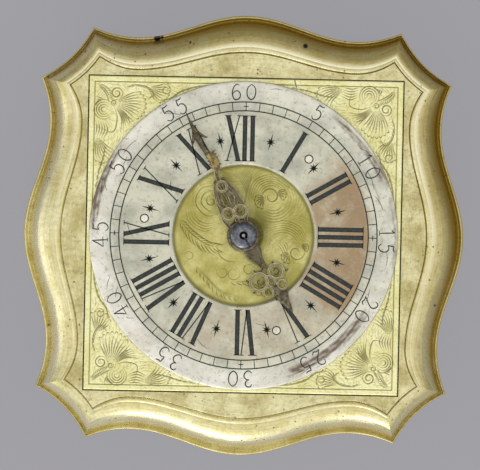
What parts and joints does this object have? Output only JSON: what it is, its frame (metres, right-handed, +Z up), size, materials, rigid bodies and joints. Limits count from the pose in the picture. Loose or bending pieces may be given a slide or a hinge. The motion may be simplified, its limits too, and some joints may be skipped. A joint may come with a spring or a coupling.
{
  "type": "horizontal table clock",
  "caption": "Square wavy-edged table clock that lies flat, with a horizontal dial, pierced hands, glazed sides, a hinged glazed bottom and a fusee verge movement.",
  "frame": {"origin": "middle of the resting plane under the four feet", "axes": "+Z up through the dial, +Y to twelve o'clock, +X to three o'clock"},
  "size_m": [0.1406, 0.1406, 0.0669],
  "materials": {
    "case_gilt": "worn gilding",
    "glass": "clear",
    "dial_brass": "engraved, matte gilding",
    "silvered": "silvered, worn",
    "steel": "polished",
    "blued_steel": "blued",
    "hand_bronze": "pierced and chased",
    "movement_brass": "satin"
  },
  "bodies": {
    "case": {"top_frame": "case_gilt", "case_wall": "case_gilt", "base_frame": "case_gilt", "window_panes": "glass", "window_clips": "movement_brass", "feet": "case_gilt", "case_rods": "steel", "door_hinge_leaf": "case_gilt", "door_hinge_pin": "steel", "dial_plate": "dial_brass", "chapter_ring": "silvered", "ring_rivets": "silvered", "dial_feet": "movement_brass", "dial_foot_pins": "steel", "dial_dogs": "movement_brass", "minute_wheel_stud": "steel", "front_plate": "movement_brass", "back_plate": "movement_brass", "pillars": "movement_brass", "pillar_pins": "steel", "barrel_arbor": "steel", "mainspring": "steel", "setup_ratchet": "steel", "setup_click": "steel", "chain": "steel", "stop_post": "steel", "potence": "movement_brass", "counter_potence": "movement_brass", "balance_spring": "blued_steel", "balance_cock": "movement_brass", "cock_screws": "steel", "spring_stud": "steel"},
    "bottom_door": {"bottom_door": "case_gilt", "door_glass": "glass", "door_glass_ring": "movement_brass", "door_knob": "movement_brass"},
    "minute_set": {"minute_hand": "hand_bronze", "cannon_pinion": "steel"},
    "minute_wheel": {"minute_wheel": "movement_brass"},
    "hour_set": {"hour_hand": "hand_bronze", "hour_wheel": "movement_brass"},
    "great_wheel": {"great_wheel": "movement_brass", "winding_click": "steel"},
    "fusee": {"fusee": "movement_brass"},
    "barrel": {"barrel": "movement_brass", "barrel_cap": "movement_brass"},
    "centre_set": {"centre_arbor": "steel", "centre_wheel": "movement_brass", "hand_collet": "blued_steel", "collet_pin": "blued_steel"},
    "third_set": {"third_arbor": "steel", "third_wheel": "movement_brass"},
    "contrate_set": {"contrate_arbor": "steel", "contrate_wheel": "movement_brass"},
    "crown_wheel": {"crown_wheel": "movement_brass"},
    "balance_set": {"verge": "steel", "balance_wheel": "movement_brass"},
    "regulator": {"regulator_index": "movement_brass"},
    "stop_arm": {"stop_arm": "steel"}
  },
  "joints": [
    {"name": "hand_setting", "type": "hinge", "parent": "case", "child": "minute_set", "pos_m": [0, 0, 0.065], "axis": [0, 0, -1], "continuous": true},
    {"name": "minute_wheel_turn", "type": "hinge", "parent": "case", "child": "minute_wheel", "pos_m": [0.00849, 0.00849, 0.0514], "axis": [0, 0, -1], "continuous": true},
    {"name": "hour_hand_turn", "type": "hinge", "parent": "case", "child": "hour_set", "pos_m": [0, 0, 0.063], "axis": [0, 0, -1], "continuous": true},
    {"name": "great_wheel_turn", "type": "hinge", "parent": "case", "child": "great_wheel", "pos_m": [-0.0175, -0.0175, 0.0276], "axis": [0, 0, -1], "continuous": true},
    {"name": "centre_wheel_turn", "type": "hinge", "parent": "case", "child": "centre_set", "pos_m": [0, 0, 0.0276], "axis": [0, 0, -1], "continuous": true},
    {"name": "third_wheel_turn", "type": "hinge", "parent": "case", "child": "third_set", "pos_m": [0.00955, -0.01138, 0.0276], "axis": [0, 0, -1], "continuous": true},
    {"name": "contrate_wheel_turn", "type": "hinge", "parent": "case", "child": "contrate_set", "pos_m": [0.02089, -0.01138, 0.0276], "axis": [0, 0, -1], "continuous": true},
    {"name": "crown_wheel_turn", "type": "hinge", "parent": "case", "child": "crown_wheel", "pos_m": [0.02089, 0, 0.0426], "axis": [0, 1, 0], "continuous": true},
    {"name": "fusee_winding", "type": "hinge", "parent": "great_wheel", "child": "fusee", "pos_m": [-0.0175, -0.0175, 0.0276], "axis": [0, 0, 1], "range_deg": [0, 1440]},
    {"name": "barrel_turn", "type": "hinge", "parent": "case", "child": "barrel", "pos_m": [-0.023, 0.023, 0.0276], "axis": [0, 0, 1], "range_deg": [0, 930]},
    {"name": "balance_swing", "type": "hinge", "parent": "case", "child": "balance_set", "pos_m": [0.02089, 0.00902, 0.0276], "axis": [0, 0, -1], "range_deg": [-50, 50], "stiffness_Nm_per_rad": 0.0002},
    {"name": "regulator_turn", "type": "hinge", "parent": "case", "child": "regulator", "pos_m": [0.02089, 0.00902, 0.025], "axis": [0, 0, -1], "range_deg": [-25, 25]},
    {"name": "stop_arm_lift", "type": "hinge", "parent": "case", "child": "stop_arm", "pos_m": [-0.004, -0.034, 0.0276], "axis": [0, 0, 1], "range_deg": [0, 5]},
    {"name": "door_hinge", "type": "hinge", "parent": "case", "child": "bottom_door", "pos_m": [0, -0.0405, 0.0066], "axis": [-1, 0, 0], "range_deg": [0, 100]}
  ],
  "couplings": [
    {"joint": "minute_wheel_turn", "follows": "hand_setting", "ratio": -0.33333},
    {"joint": "hour_hand_turn", "follows": "hand_setting", "ratio": 0.083333},
    {"joint": "great_wheel_turn", "follows": "third_wheel_turn", "ratio": 0.022222},
    {"joint": "centre_wheel_turn", "follows": "third_wheel_turn", "ratio": -0.1},
    {"joint": "contrate_wheel_turn", "follows": "third_wheel_turn", "ratio": -8},
    {"joint": "crown_wheel_turn", "follows": "third_wheel_turn", "ratio": 56},
    {"joint": "barrel_turn", "follows": "fusee_winding", "ratio": 0.64}
  ]
}
